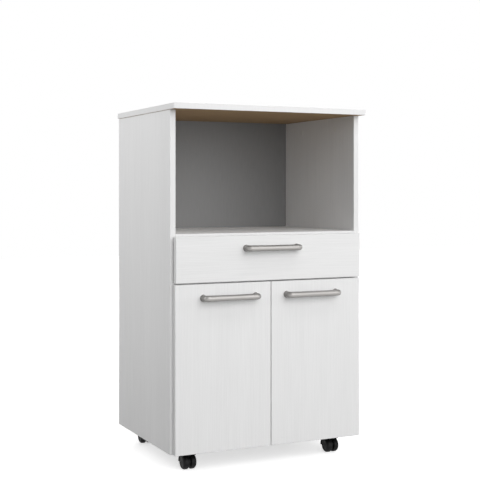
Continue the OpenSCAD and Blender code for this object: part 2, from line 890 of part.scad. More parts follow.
// The forked outer link of one hinge, folded in the cup, with its pin
module outer_link() {
    for (i = [-1, 1])
        hinge_link(outer_pin, outer_pin + [11.5, 3.2], i * 5.6 - 0.8, i * 5.6 + 0.8);
    hinge_link_pin(outer_pin);
}

// The inner link of one hinge, folded under the outer one, with its pin
module inner_link() {
    hinge_link(inner_pin, inner_pin + [13, 3], -3.2, 3.2);
    hinge_link_pin(inner_pin);
}

module at_cups() {
    for (z = hinge_zs)
        translate([-cup_x, -door_standoff, z])
            children();
}

module cup_screws() {
    for (i = [-1, 1])
        rod([0, cup_flange_t, i * cup_ear_pitch / 2], [0, -1, 0], cup_screw_r,
            cup_screw_l + cup_flange_t - 1);
}

module door_screw_set() {
    at_cups()
        cup_screws();
    translate([-handle_x, door_front_y, door_handle_z])
        handle_screws();
}

// The plate on the side panel, with its ears and the rail the arm straddles
module hinge_plate() {
    ear = 6;
    difference() {
        union() {
            block([0, plate_setback - 8, -plate_h / 2],
                [plate_t, plate_setback - 8 + plate_l, plate_h / 2]);
            block([0, plate_setback - ear, -plate_ear_h / 2],
                [plate_t, plate_setback + ear, plate_ear_h / 2]);
            block([plate_t, plate_setback - 8, -plate_h / 2 + 3],
                [plate_t + plate_rail_t, plate_setback - 8 + plate_l, plate_h / 2 - 3]);
        }
        for (i = [-1, 1])
            rod([-cut, plate_setback, i * plate_screw_pitch / 2], [1, 0, 0],
                plate_screw_r + slip, plate_t + 2 * cut);
        rod([plate_t - 0.5, adjust_screw_y, 0], [1, 0, 0], adjust_screw_r + slip,
            plate_rail_t + cut);
    }
}

// The cranked arm: a channel open towards the side panel, straddling the rail
module hinge_arm() {
    low = plate_t;
    back_top = plate_t + plate_rail_t + 3;
    nose_top = cup_x_u + 4;
    outline = [
        [low, arm_l], [back_top, arm_l], [back_top, plate_setback - 4], [nose_top, 18],
        [nose_top, arm_nose_y + 2], [nose_top - 2, arm_nose_y], [nose_top - 9, arm_nose_y],
        [low + 2, 20], [low, plate_setback - 8],
    ];
    inside = [
        [low - cut, arm_l + cut], [back_top - arm_steel, arm_l + cut],
        [back_top - arm_steel, plate_setback - 4.6], [nose_top - arm_steel, 17.4],
        [nose_top - arm_steel, arm_nose_y + 2.4], [nose_top - 2.6, arm_nose_y - cut],
        [nose_top - 9 - cut, arm_nose_y - cut], [low - cut, 18],
    ];
    difference() {
        translate([0, 0, -arm_h / 2])
            linear_extrude(arm_h)
                polygon(outline);
        translate([0, 0, -arm_h / 2 + arm_steel])
            linear_extrude(arm_h - 2 * arm_steel)
                polygon(inside);
        rod([back_top - arm_steel - cut, adjust_screw_y, 0], [1, 0, 0], adjust_screw_r + slip,
            arm_steel + 2 * cut);
    }
    for (p = [[nose_top - 4.5, arm_nose_y + 2.6], [nose_top - 7.5, arm_nose_y + 7.5]])
        translate([p.x, p.y, -arm_h / 2 + arm_steel])
            cylinder(r = 1.2, h = arm_h - 2 * arm_steel);
}

cup_x_u = inner_w - cup_x; // the cup's centre, counted from the side panel's inner face

module at_plates() {
    for (side = [-1, 1], z = hinge_zs) {
        on_side(side)
            translate([-inner_w, 0, z])
                children();
    }
}

module hinge_plate_screws() {
    top = plate_t + plate_rail_t + 3;
    for (i = [-1, 1]) {
        rod([-plate_screw_bite, plate_setback, i * plate_screw_pitch / 2], [1, 0, 0],
            plate_screw_r, plate_screw_bite + plate_t);
        rod([plate_t, plate_setback, i * plate_screw_pitch / 2], [1, 0, 0], 4.2, 1.6);
    }
    rod([plate_t, adjust_screw_y, 0], [1, 0, 0], adjust_screw_r, top - plate_t);
    rod([top, adjust_screw_y, 0], [1, 0, 0], 4, 1.8);
}

// The screws that hold the runners and the hinges to the side panels
module fitting_screw_set() {
    for (side = [-1, 1])
        on_side(side)
            at_runner()
                runner_screws();
    at_plates()
        hinge_plate_screws();
}

// ---- Casters ----

caster_places = [for (side = [-1, 1], y = [caster_inset_y, carcass_d - caster_inset_y])
    [side * (half_w - caster_inset_x), y]];

module caster_hole_places() {
    for (i = [-1, 1], j = [-1, 1])
        translate([i * caster_hole_pitch / 2, j * caster_hole_pitch / 2, 0])
            children();
}

// A mounting plate under the bottom panel with the pin that the caster swivels on
module caster_plate() {
    half = caster_plate_w / 2;
    under = caster_h - caster_plate_t;
    difference() {
        block([-half, -half, under], [half, half, caster_h]);
        caster_hole_places()
            rod([0, 0, under - cut], [0, 0, 1], caster_screw_r + slip, caster_plate_t + 2 * cut);
    }
    rod([0, 0, under - pin_collar_t], [0, 0, 1], boss_r - 1, pin_collar_t);
    rod([0, 0, z_boss_top - pin_engage + 0.3], [0, 0, 1], swivel_pin_r,
        under - z_boss_top + pin_engage - 0.3);
}

module caster_screw() {
    under = caster_h - caster_plate_t;
    caster_hole_places() {
        rod([0, 0, under], [0, 0, 1], caster_screw_r, caster_plate_t + caster_screw_l);
        rod([0, 0, under], [0, 0, -1], caster_screw_head_r, caster_screw_head_t);
    }
}

// A ring sector or a disc about the axle, from inner to outer radius, w wide along X
module about_axle(inner, outer, w, from, sweep) {
    translate([0, -caster_trail, wheel_r])
        rotate([0, -90, 0])
            rotate([0, 0, -from - sweep - 270])
                rotate_extrude(angle = sweep, $fn = 64)
                    translate([inner, -w / 2])
                        square([outer - inner, w]);
}

// The caster's body: a web between the wheels, a hood over them and the boss for the pin
module caster_body() {
    hood_in = wheel_r + hood_gap;
    hood_out = hood_in + hood_t;
    difference() {
        union() {
            about_axle(hood_in, hood_out, hood_w, hood_from, hood_to - hood_from);
            about_axle(axle_r + slip, hood_out, web_t, hood_from, hood_to - hood_from);
            about_axle(axle_r + slip, web_r, web_t, 0, 360);
            difference() {
                rod([0, 0, wheel_r], [0, 0, 1], boss_r, z_boss_top - wheel_r);
                rod([-hood_w, -caster_trail, wheel_r], [1, 0, 0], hood_in, 2 * hood_w);
            }
        }
        rod([0, 0, z_boss_top - pin_engage], [0, 0, 1], swivel_pin_r + slip, pin_engage + cut);
    }
}

module caster_axle() {
    half_l = wheel_gap / 2 + wheel_w - wheel_cap_t - axle_end_gap;
    rod([-half_l, -caster_trail, wheel_r], [1, 0, 0], axle_r, 2 * half_l);
}

// A wheel as one revolved profile: rounded inner edge, tread, domed side, dished hub and blind bore.
// It is drawn for the caster's right; side -1 puts it on the left.
module wheel(side) {
    near = wheel_gap / 2;
    far = near + wheel_w;
    dome = wheel_w - wheel_tread_w - wheel_edge_r;
    profile = concat(
        [[axle_r + slip, near]],
        [for (a = [0 : 15 : 90])
            [wheel_r - wheel_edge_r * (1 - sin(a)), near + wheel_edge_r * (1 - cos(a))]],
        [for (a = [0 : 10 : 90])
            [wheel_rim_r + (wheel_r - wheel_rim_r) * cos(a), far - dome + dome * sin(a)]],
        [[wheel_rim_r - 1.5, far - wheel_dish], [axle_r + 2, far - wheel_dish],
            [axle_r + 1, far], [0, far], [0, far - wheel_cap_t],
            [axle_r + slip, far - wheel_cap_t]]);
    translate([0, -caster_trail, wheel_r])
        mirror([side < 0 ? 1 : 0, 0, 0])
            rotate([0, 90, 0])
                rotate_extrude($fn = 64)
                    polygon(profile);
}

// The same sub-part under all four corners
module at_corners() {
    for (side = [-1, 1], end = [-1, 1])
        at_corner(side, end)
            children();
}

// Puts a caster's sub-part under one corner: side -1 left or 1 right, end -1 front or 1 back.
// The front casters trail to the front and the back ones to the back.
module at_corner(side, end) {
    y = end < 0 ? caster_inset_y : carcass_d - caster_inset_y;
    translate([side * (half_w - caster_inset_x), y, 0])
        rotate([0, 0, end < 0 ? 0 : 180])
            children();
}

// ---- Sub-parts ----

placed(white_laminate) side_panel();  // side_panel_left
placed(white_laminate) on_side(1) side_panel();  // side_panel_right
placed(white_laminate) top_board();  // top_panel
placed(white_laminate) cross_board(z_deck_mid);  // microwave_deck
placed(white_laminate) cross_board(z_divider_mid);  // drawer_divider
placed(white_laminate) bottom_board();  // bottom_panel
placed(hardboard_brown) back_board();  // back_panel
placed(white_laminate) shelf_board();  // cupboard_shelf
placed(zinc) shelf_pin_set();  // shelf_pins
placed(zinc) at_cams() cam_lock();  // cam_locks
placed(cap_white) at_cams() cam_cap();  // cam_caps
placed(zinc) cam_bolt_set();  // cam_bolts
placed(dowel_wood) dowel_set();  // dowels
placed(zinc) back_nail_set();  // back_nails
placed(epoxy_white) cabinet_runner();  // cabinet_runner_left
placed(epoxy_white) on_side(1) cabinet_runner();  // cabinet_runner_right
placed(satin_nickel) at_plates() hinge_plate();  // hinge_plates
placed(satin_nickel) at_plates() hinge_arm();  // hinge_arms
placed(zinc) fitting_screw_set();  // fitting_screws
placed(zinc) at_corners() caster_plate();  // caster_plates
placed(zinc) at_corners() caster_screw();  // caster_screws

placed(white_laminate) drawer_front_board();  // drawer_front
placed(white_laminate) drawer_side();  // drawer_side_left
placed(white_laminate) on_side(1) drawer_side();  // drawer_side_right
placed(white_laminate) drawer_back_board();  // drawer_back
placed(hardboard_white) drawer_bottom_board();  // drawer_bottom
placed(epoxy_white) drawer_runner();  // drawer_runner_left
placed(epoxy_white) on_side(1) drawer_runner();  // drawer_runner_right
placed(satin_nickel) drawer_handle_set();  // drawer_handle
placed(zinc) drawer_fastener_set();  // drawer_fasteners
placed(nylon_white) front_roller_set();  // front_rollers
placed(nylon_white) rear_roller_set();  // rear_rollers

placed(white_laminate) door_board();  // door_left
placed(satin_nickel) door_handle();  // door_handle_left
placed(satin_nickel) at_cups() hinge_cup();  // hinge_cups_left
placed(satin_nickel) at_cups() outer_link();  // hinge_outer_links_left
placed(satin_nickel) at_cups() inner_link();  // hinge_inner_links_left
placed(zinc) door_screw_set();  // door_screws_left
placed(white_laminate) on_side(1) door_board();  // door_right
placed(satin_nickel) on_side(1) door_handle();  // door_handle_right
placed(satin_nickel) on_side(1) at_cups() hinge_cup();  // hinge_cups_right
placed(satin_nickel) on_side(1) at_cups() outer_link();  // hinge_outer_links_right
placed(satin_nickel) on_side(1) at_cups() inner_link();  // hinge_inner_links_right
placed(zinc) on_side(1) door_screw_set();  // door_screws_right

placed(caster_black) at_corner(-1, -1) caster_body();  // caster_body_front_left
placed(zinc) at_corner(-1, -1) caster_axle();  // caster_axle_front_left
placed(caster_black) at_corner(-1, -1) wheel(-1);  // wheel_outer_front_left
placed(caster_black) at_corner(-1, -1) wheel(1);  // wheel_inner_front_left
placed(caster_black) at_corner(1, -1) caster_body();  // caster_body_front_right
placed(zinc) at_corner(1, -1) caster_axle();  // caster_axle_front_right
placed(caster_black) at_corner(1, -1) wheel(1);  // wheel_outer_front_right
placed(caster_black) at_corner(1, -1) wheel(-1);  // wheel_inner_front_right
placed(caster_black) at_corner(-1, 1) caster_body();  // caster_body_back_left
placed(zinc) at_corner(-1, 1) caster_axle();  // caster_axle_back_left
placed(caster_black) at_corner(-1, 1) wheel(1);  // wheel_outer_back_left
placed(caster_black) at_corner(-1, 1) wheel(-1);  // wheel_inner_back_left
placed(caster_black) at_corner(1, 1) caster_body();  // caster_body_back_right
placed(zinc) at_corner(1, 1) caster_axle();  // caster_axle_back_right
placed(caster_black) at_corner(1, 1) wheel(-1);  // wheel_outer_back_right
placed(caster_black) at_corner(1, 1) wheel(1);  // wheel_inner_back_right
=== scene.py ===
import bpy
import bmesh
from math import pi, radians
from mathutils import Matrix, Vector


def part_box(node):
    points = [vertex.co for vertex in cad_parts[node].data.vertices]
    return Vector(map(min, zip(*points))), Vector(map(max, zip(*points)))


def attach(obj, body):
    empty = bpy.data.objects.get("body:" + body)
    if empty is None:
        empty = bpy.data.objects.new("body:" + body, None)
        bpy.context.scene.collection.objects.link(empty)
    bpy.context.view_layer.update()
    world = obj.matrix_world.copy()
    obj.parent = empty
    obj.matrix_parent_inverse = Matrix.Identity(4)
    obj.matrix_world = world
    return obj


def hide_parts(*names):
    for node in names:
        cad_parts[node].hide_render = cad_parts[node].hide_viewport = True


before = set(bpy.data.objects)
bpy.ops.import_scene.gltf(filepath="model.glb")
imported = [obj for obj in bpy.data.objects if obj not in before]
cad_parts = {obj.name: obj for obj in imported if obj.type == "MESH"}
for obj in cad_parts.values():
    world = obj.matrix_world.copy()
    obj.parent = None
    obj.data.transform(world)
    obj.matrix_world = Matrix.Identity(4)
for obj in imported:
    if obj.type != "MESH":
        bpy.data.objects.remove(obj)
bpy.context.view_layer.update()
scene = bpy.context.scene
mm = 0.001  # everything is in metres
print("frame loaded")


def linear(hexText):
    # sRGB hex to the linear values that the shader wants, fully opaque
    channels = [int(hexText[i:i + 2], 16) / 255 for i in (1, 3, 5)]
    return [c / 12.92 if c <= 0.04045 else ((c + 0.055) / 1.055) ** 2.4 for c in channels] + [1.0]


def addNode(tree, kind, settings=None, values=None, links=None):
    # adds a node, sets its options and socket values, and links its inputs
    node = tree.nodes.new(kind)
    for option, value in (settings or {}).items():
        setattr(node, option, value)
    for socket, value in (values or {}).items():
        node.inputs[socket].default_value = value
    for socket, source in (links or {}).items():
        tree.links.new(source, node.inputs[socket])
    return node


def newMaterial(name, look):
    # a Principled shader with the look's constant values on its own sockets
    material = bpy.data.materials.new(name)
    material.use_nodes = True
    tree = material.node_tree
    shader = tree.nodes["Principled BSDF"]
    for socket, key in (("Roughness", "roughness"), ("Metallic", "metallic"), ("IOR", "ior"),
                        ("Specular IOR Level", "specular")):
        if key in look:
            shader.inputs[socket].default_value = look[key]
    shader.inputs["Base Color"].default_value = linear(look["colour"])
    return material, tree, shader


def stretched(tree, alongAxis, acrossMm, lengthMm):
    # object coordinates scaled so that one unit is one grain across and one grain along
    coords = addNode(tree, "ShaderNodeTexCoord")
    scale = [1 / (acrossMm * mm)] * 3
    scale["XYZ".index(alongAxis)] = 1 / (lengthMm * mm)
    return addNode(tree, "ShaderNodeMapping", values={"Scale": scale},
                   links={"Vector": coords.outputs["Object"]}).outputs["Vector"]


def dressShader(tree, shader, look, tone, height):
    # a tone from 0 to 1 goes from the look's shade to its colour, and a height raises its relief;
    # a colour mix takes its two colours at inputs 6 and 7 and gives them mixed at output 2
    colour = addNode(tree, "ShaderNodeMix", {"data_type": "RGBA"},
                     {6: linear(look["shade"]), 7: linear(look["colour"])}, {0: tone})
    bump = addNode(tree, "ShaderNodeBump",
                   values={"Strength": look["bump"], "Distance": look["reliefMm"] * mm},
                   links={"Height": height})
    tree.links.new(colour.outputs[2], shader.inputs["Base Color"])
    tree.links.new(bump.outputs["Normal"], shader.inputs["Normal"])


# Melamine-faced chipboard, pressed with a wood-pore plate: a flat white sheet that only shows its
# grain as fine raised streaks where light grazes it. Real pores are 0.3 mm wide, too fine to show,
# so the streaks are drawn at 3 mm.
melamine = {
    "colour": "#EAEAEA", "shade": "#E3E3E3", "roughness": 0.45, "ior": 1.5, "specular": 0.35,
    "streakMm": 3.0, "streakLengthMm": 150, "streakDetail": 3.0, "streakRoughness": 0.6,
    "bandMm": 26, "bandLengthMm": 700, "bandDetail": 2.0, "bandShare": 0.35,
    "toneLow": 0.45, "toneHigh": 0.95,  # sums of the two noises that give the shade and the colour
    "poreRougher": 0.08, "ridgeSmoother": 0.06, "reliefMm": 0.03, "bump": 0.35,
}


def melamineMaterial(name, grainAxis, look=melamine):
    # fine streaks over broad bands; only the streaks stand proud
    material, tree, shader = newMaterial(name, look)
    streakPlace = stretched(tree, grainAxis, look["streakMm"], look["streakLengthMm"])
    streaks = addNode(tree, "ShaderNodeTexNoise", links={"Vector": streakPlace},
                      values={"Scale": 1.0, "Detail": look["streakDetail"],
                              "Roughness": look["streakRoughness"]})
    bandPlace = stretched(tree, grainAxis, look["bandMm"], look["bandLengthMm"])
    bands = addNode(tree, "ShaderNodeTexNoise", links={"Vector": bandPlace},
                    values={"Scale": 1.0, "Detail": look["bandDetail"]})
    both = addNode(tree, "ShaderNodeMath", {"operation": "MULTIPLY_ADD"}, {1: look["bandShare"]},
                   {0: bands.outputs["Fac"], 2: streaks.outputs["Fac"]})
    tone = addNode(tree, "ShaderNodeMapRange", links={"Value": both.outputs["Value"]},
                   values={"From Min": look["toneLow"], "From Max": look["toneHigh"]})
    rough = addNode(tree, "ShaderNodeMapRange", links={"Value": tone.outputs["Result"]},
                    values={"To Min": look["roughness"] + look["poreRougher"],
                            "To Max": look["roughness"] - look["ridgeSmoother"]})
    tree.links.new(rough.outputs["Result"], shader.inputs["Roughness"])
    dressShader(tree, shader, look, tone.outputs["Result"], streaks.outputs["Fac"])
    return material


# The finishes below share one recipe: a stretched noise that shifts the colour, the roughness and
# a little relief. Their grain is the real one's, or as coarse as it needs to be to show.
grainRecipe = {"detail": 3.0, "noiseLow": 0.3, "noiseHigh": 0.7, "bump": 0.4}
grainedLooks = {
    # ABS edge banding, extruded: white like the boards but without pores, a little glossier
    "absEdgeBand": {
        "colour": "#E3E3E3", "shade": "#DADADA", "roughness": 0.36, "roughSpread": 0.04, "ior": 1.53,
        "along": "Z", "grainMm": 5, "grainLengthMm": 90, "reliefMm": 0.03},
    # balance paper on the top board's underside: dull brown, with faint fibre clouds
    "kraftBalancePaper": {
        "colour": "#A58862", "shade": "#8E7252", "roughness": 0.7, "roughSpread": 0.06, "ior": 1.45,
        "along": "X", "grainMm": 6, "grainLengthMm": 60, "reliefMm": 0.08},
    # chipboard core, seen only inside drilled holes: pressed flakes, dry and pale brown
    "chipboardCore": {
        "colour": "#C9AE85", "shade": "#94784F", "roughness": 0.85, "roughSpread": 0.05, "ior": 1.45,
        "along": "X", "grainMm": 1.5, "grainLengthMm": 2.5, "reliefMm": 0.4},
    # hardboard, wet-pressed: smooth face towards the inside, its grey paint darkened further as painted
    # shade of the bay
    "greyHardboardWithPaintedShade": {
        "colour": "#7C7C7C", "shade": "#727272", "roughness": 0.5, "roughSpread": 0.05, "ior": 1.48,
        "along": "Z", "grainMm": 5, "grainLengthMm": 40, "reliefMm": 0.05},
    # lacquered hardboard of the drawer's bottom: white and even, faintly cloudy
    "lacqueredHardboard": {
        "colour": "#E4E4E2", "shade": "#DADAD7", "roughness": 0.4, "roughSpread": 0.05, "ior": 1.5,
        "along": "X", "grainMm": 6, "grainLengthMm": 50, "reliefMm": 0.05},
    # zinc alloy, die-cast, nickel-plated and satin-brushed along the bar: soft streaky highlights
    "satinNickel": {
        "colour": "#92908E", "shade": "#868482", "roughness": 0.43, "roughSpread": 0.04,
        "metallic": 1.0, "along": "X", "grainMm": 0.9, "grainLengthMm": 60, "reliefMm": 0.02},
    # nickel plate on stamped steel, left as it comes from the bath: brighter, unevenly glossy
    "platedSteel": {
        "colour": "#BDBDBB", "shade": "#A9A9A7", "roughness": 0.34, "roughSpread": 0.08,
        "metallic": 1.0, "along": "X", "grainMm": 1.6, "grainLengthMm": 3, "reliefMm": 0.03},
    # bright zinc plate on small fittings: bluish grey with a slight bloom
    "zincPlate": {
        "colour": "#B9BDC2", "shade": "#A0A5AB", "roughness": 0.38, "roughSpread": 0.1,
        "metallic": 1.0, "along": "Z", "grainMm": 1.2, "grainLengthMm": 1.8, "reliefMm": 0.04},
    # epoxy powder coat on roll-formed steel: white, faint orange peel
    "epoxyPowderCoat": {
        "colour": "#EDEDEB", "shade": "#E3E3E1", "roughness": 0.3, "roughSpread": 0.04, "ior": 1.55,
        "along": "Y", "grainMm": 1.5, "grainLengthMm": 2, "reliefMm": 0.06},
    # polyamide rollers, moulded: milky white, slightly waxy
    "mouldedPolyamide": {
        "colour": "#EFEEE8", "shade": "#E3E2DB", "roughness": 0.36, "roughSpread": 0.05, "ior": 1.53,
        "along": "X", "grainMm": 1.2, "grainLengthMm": 1.6, "reliefMm": 0.02},
    # polyethylene cover caps, moulded: white, softer and duller than the boards
    "polyethyleneCap": {
        "colour": "#E8E8E6", "shade": "#DEDEDC", "roughness": 0.45, "roughSpread": 0.05, "ior": 1.51,
        "along": "X", "grainMm": 1.5, "grainLengthMm": 2, "reliefMm": 0.02},
    # black polyamide of the casters, moulded and lightly grained: dark satin with soft highlights
    "casterPolyamide": {
        "colour": "#0F0F10", "shade": "#0A0A0B", "roughness": 0.5, "roughSpread": 0.06, "ior": 1.53,
        "specular": 0.15, "along": "Z", "grainMm": 0.9, "grainLengthMm": 1.1, "reliefMm": 0.05},
    # beech dowels, turned: pale and dry, with fine grain along the peg
    "turnedBeech": {
        "colour": "#D6B486", "shade": "#BD9566", "roughness": 0.6, "roughSpread": 0.06, "ior": 1.47,
        "along": "X", "grainMm": 0.6, "grainLengthMm": 12, "reliefMm": 0.1},
}


def grainedMaterial(name, look):
    look = {**grainRecipe, **look}
    material, tree, shader = newMaterial(name, look)
    place = stretched(tree, look["along"], look["grainMm"], look["grainLengthMm"])
    noise = addNode(tree, "ShaderNodeTexNoise", values={"Scale": 1.0, "Detail": look["detail"]},
                    links={"Vector": place}).outputs["Fac"]
    rough = addNode(tree, "ShaderNodeMapRange", links={"Value": noise},
                    values={"From Min": look["noiseLow"], "From Max": look["noiseHigh"],
                            "To Min": look["roughness"] - look["roughSpread"],
                            "To Max": look["roughness"] + look["roughSpread"]})
    tree.links.new(rough.outputs["Result"], shader.inputs["Roughness"])
    dressShader(tree, shader, look, noise, noise)
    return material


# The back panel's bare side, hardboard wet-pressed on a wire screen: brown fibre clouds under the
# print of the mesh. The wires are 1.3 mm apart, too fine to show, so they are drawn at 6 mm.
hardboardScreenSide = {
    "colour": "#8D6D4B", "shade": "#7E5F40", "roughness": 0.75, "ior": 1.45, "specular": 0.3,
    "cloudMm": 28, "cloudDetail": 4.0, "fibreMm": 4, "fibreDetail": 2.0, "fibreShare": 0.5,
    "wireMm": 6.0, "wireShare": 0.55, "toneLow": 0.1, "toneHigh": 0.8, "reliefMm": 0.4, "bump": 0.5,
}
waveRepeat = 2 * pi / 20  # a wave texture at scale 1 repeats after this length


def screenedMaterial(name, look):
    # clouds and fibres, darkened where the wires of the screen pressed in
    material, tree, shader = newMaterial(name, look)
    place = addNode(tree, "ShaderNodeTexCoord").outputs["Object"]
    clouds, fibres = [addNode(tree, "ShaderNodeTexNoise", links={"Vector": place},
                              values={"Scale": 1 / (look[kind + "Mm"] * mm),
                                      "Detail": look[kind + "Detail"]}).outputs["Fac"]
                      for kind in ("cloud", "fibre")]
    blend = addNode(tree, "ShaderNodeMath", {"operation": "MULTIPLY_ADD"},
                    {1: look["fibreShare"]}, {0: fibres, 2: clouds})
    waveScale = waveRepeat / (look["wireMm"] * mm)
    wires = [addNode(tree, "ShaderNodeTexWave", {"bands_direction": axis}, {"Scale": waveScale},
                     {"Vector": place}).outputs["Fac"] for axis in "XZ"]
    mesh = addNode(tree, "ShaderNodeMath", {"operation": "MAXIMUM"},
                   links={0: wires[0], 1: wires[1]}).outputs["Value"]
    pressed = addNode(tree, "ShaderNodeMath", {"operation": "MULTIPLY_ADD"},
                      {1: -look["wireShare"]}, {0: mesh, 2: blend.outputs["Value"]})
    tone = addNode(tree, "ShaderNodeMapRange", links={"Value": pressed.outputs["Value"]},
                   values={"From Min": look["toneLow"], "From Max": look["toneHigh"]})
    dressShader(tree, shader, look, tone.outputs["Result"], mesh)
    return material


mats = {name: grainedMaterial(name, look) for name, look in grainedLooks.items()}
mats["hardboardScreenSide"] = screenedMaterial("hardboardScreenSide", hardboardScreenSide)
for axis in "XYZ":
    mats["melamineGrain" + axis] = melamineMaterial("melamineGrain" + axis, axis)
print("materials ready:", len(mats))

# grain is the axis the pores run along; thin is the board's thickness axis
boards = {
    "sideBoardLeft": {"node": "side_panel_left", "body": "carcass", "grain": "Z", "thin": 0},
    "sideBoardRight": {"node": "side_panel_right", "body": "carcass", "grain": "Z", "thin": 0},
    "topBoard": {"node": "top_panel", "body": "carcass", "grain": "X", "thin": 2,
                 "under": "kraftBalancePaper", "slot": "top_laminate"},
    "deckBoard": {"node": "microwave_deck", "body": "carcass", "grain": "X", "thin": 2},
    "dividerBoard": {"node": "drawer_divider", "body": "carcass", "grain": "X", "thin": 2},
    "bottomBoard": {"node": "bottom_panel", "body": "carcass", "grain": "X", "thin": 2},
    "shelfBoard": {"node": "cupboard_shelf", "body": "carcass", "grain": "X", "thin": 2},
    "drawerFrontBoard": {"node": "drawer_front", "body": "drawer", "grain": "X", "thin": 1},
    "doorBoardLeft": {"node": "door_left", "body": "door_left", "grain": "Z", "thin": 1},
    "doorBoardRight": {"node": "door_right", "body": "door_right", "grain": "Z", "thin": 1},
    "drawerSideBoardLeft": {"node": "drawer_side_left", "body": "drawer", "grain": "Y", "thin": 0},
    "drawerSideBoardRight": {"node": "drawer_side_right", "body": "drawer", "grain": "Y", "thin": 0},
    "drawerBackBoard": {"node": "drawer_back", "body": "drawer", "grain": "X", "thin": 1},
}
boardEdge = {
    "radiusMm": 0.8, "segments": 3, "roundness": 0.5,
    "weldMm": 0.005, "flatDegrees": 0.5,  # the solid's triangles are joined to whole faces first
    "snapMm": 0.02, "squareDegrees": 80,  # edges on the outer box that turn this far are rounded
    "bandMm": 1.0,  # faces this near the outer box are banded, and deeper ones are bare core
    "broadFace": 0.98, "flatFace": 0.9999,  # how squarely a face has to point along an axis
}
faceSlot, bandSlot, coreSlot, underSlot = range(4)


def onHull(point, low, high, reachMm=boardEdge["snapMm"]):
    # for each axis, whether the point lies on the board's outer face or as near it as reachMm
    return [min(abs(point[i] - low[i]), abs(point[i] - high[i])) < reachMm * mm for i in range(3)]


def softenedBoard(name, look):
    # the board's own solid with its outer edges rounded and its edge bands as a second material
    low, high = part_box(look["node"])
    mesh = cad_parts[look["node"]].data.copy()
    mesh.name = name
    shape = bmesh.new()
    shape.from_mesh(mesh)
    bmesh.ops.remove_doubles(shape, verts=shape.verts, dist=boardEdge["weldMm"] * mm)
    bmesh.ops.dissolve_limit(shape, angle_limit=radians(boardEdge["flatDegrees"]),
                             verts=shape.verts, edges=shape.edges)
    square = radians(boardEdge["squareDegrees"])
    outer = []
    for edge in shape.edges:
        flags = [onHull(v.co, low, high) for v in edge.verts]
        shared = sum(a and b for a, b in zip(*flags))
        if shared >= 2 and edge.is_manifold and edge.calc_face_angle(0) > square:
            outer.append(edge)
    bmesh.ops.bevel(shape, geom=outer, offset=boardEdge["radiusMm"] * mm,
                    segments=boardEdge["segments"], profile=boardEdge["roundness"],
                    affect="EDGES", clamp_overlap=True)
    shape.normal_update()
    finishes = ["melamineGrain" + look["grain"], "absEdgeBand", "chipboardCore"]
    if "under" in look:
        finishes.append(look["under"])
    mesh.materials.clear()
    for finish in finishes:
        mesh.materials.append(mats[finish])
    thin = look["thin"]
    for face in shape.faces:
        centre = face.calc_center_median()
        along = face.normal[thin]
        if abs(along) > boardEdge["broadFace"] and onHull(centre, low, high)[thin]:
            face.material_index = underSlot if "under" in look and along < 0 else faceSlot
        elif any(onHull(centre, low, high, boardEdge["bandMm"])):
            face.material_index = bandSlot
        else:
            face.material_index = coreSlot
    shape.to_mesh(mesh)
    shape.free()
    piece = bpy.data.objects.new(name, mesh)
    scene.collection.objects.link(piece)
    # the broad faces stay flat and only the rounded edges are smooth
    for polygon in mesh.polygons:
        polygon.use_smooth = max(abs(n) for n in polygon.normal) < boardEdge["flatFace"]
    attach(piece, look["body"])
    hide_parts(look["node"])


for name, look in boards.items():
    softenedBoard(name, look)
print("boards softened:", len(boards))

# the finish of each solid that stays as it is, by how its name starts
solidFinish = {
    "hardboardScreenSide": ("back_panel",),
    "lacqueredHardboard": ("drawer_bottom",),
    "turnedBeech": ("dowels",),
    "polyethyleneCap": ("cam_caps",),
    "zincPlate": ("cam_locks", "cam_bolts", "shelf_pins", "back_nails", "fitting_screws",
                  "caster_screws", "caster_plates", "caster_axle", "drawer_fasteners", "door_screws"),
    "epoxyPowderCoat": ("cabinet_runner", "drawer_runner"),
    "mouldedPolyamide": ("front_rollers", "rear_rollers"),
    "platedSteel": ("hinge_",),
    "satinNickel": ("drawer_handle", "door_handle"),
    "casterPolyamide": ("caster_body", "wheel_"),
}
creaseDegrees = 32  # sharper edges than this stay sharp in the shading
finished = 0
for finish, starts in solidFinish.items():
    for nodeName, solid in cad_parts.items():
        if nodeName.startswith(starts):
            mesh = solid.data
            mesh.materials.clear()
            mesh.materials.append(mats[finish])
            mesh.polygons.foreach_set("use_smooth", [True] * len(mesh.polygons))
            mesh.set_sharp_from_angle(angle=radians(creaseDegrees))
            finished += 1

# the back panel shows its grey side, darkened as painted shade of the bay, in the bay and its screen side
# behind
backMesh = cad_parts["back_panel"].data
backMesh.materials.append(mats["greyHardboardWithPaintedShade"])
facesFront = -0.5  # y of a face normal that points to the front
for polygon in backMesh.polygons:
    polygon.material_index = 1 if polygon.normal.y < facesFront else 0
print("finishes given:", finished)

studio = {
    "floorHalfM": 9.0, "floorColour": "#F2F2F2", "floorBounce": "#848484", "worldStrength": 0.25,
    # the paper glows to the camera, faintly by the cart, where it keeps the shadow, and fully far off
    "glowNear": 0.6, "glowFar": 1.0, "nearM": 0.8, "farM": 3.0,
}
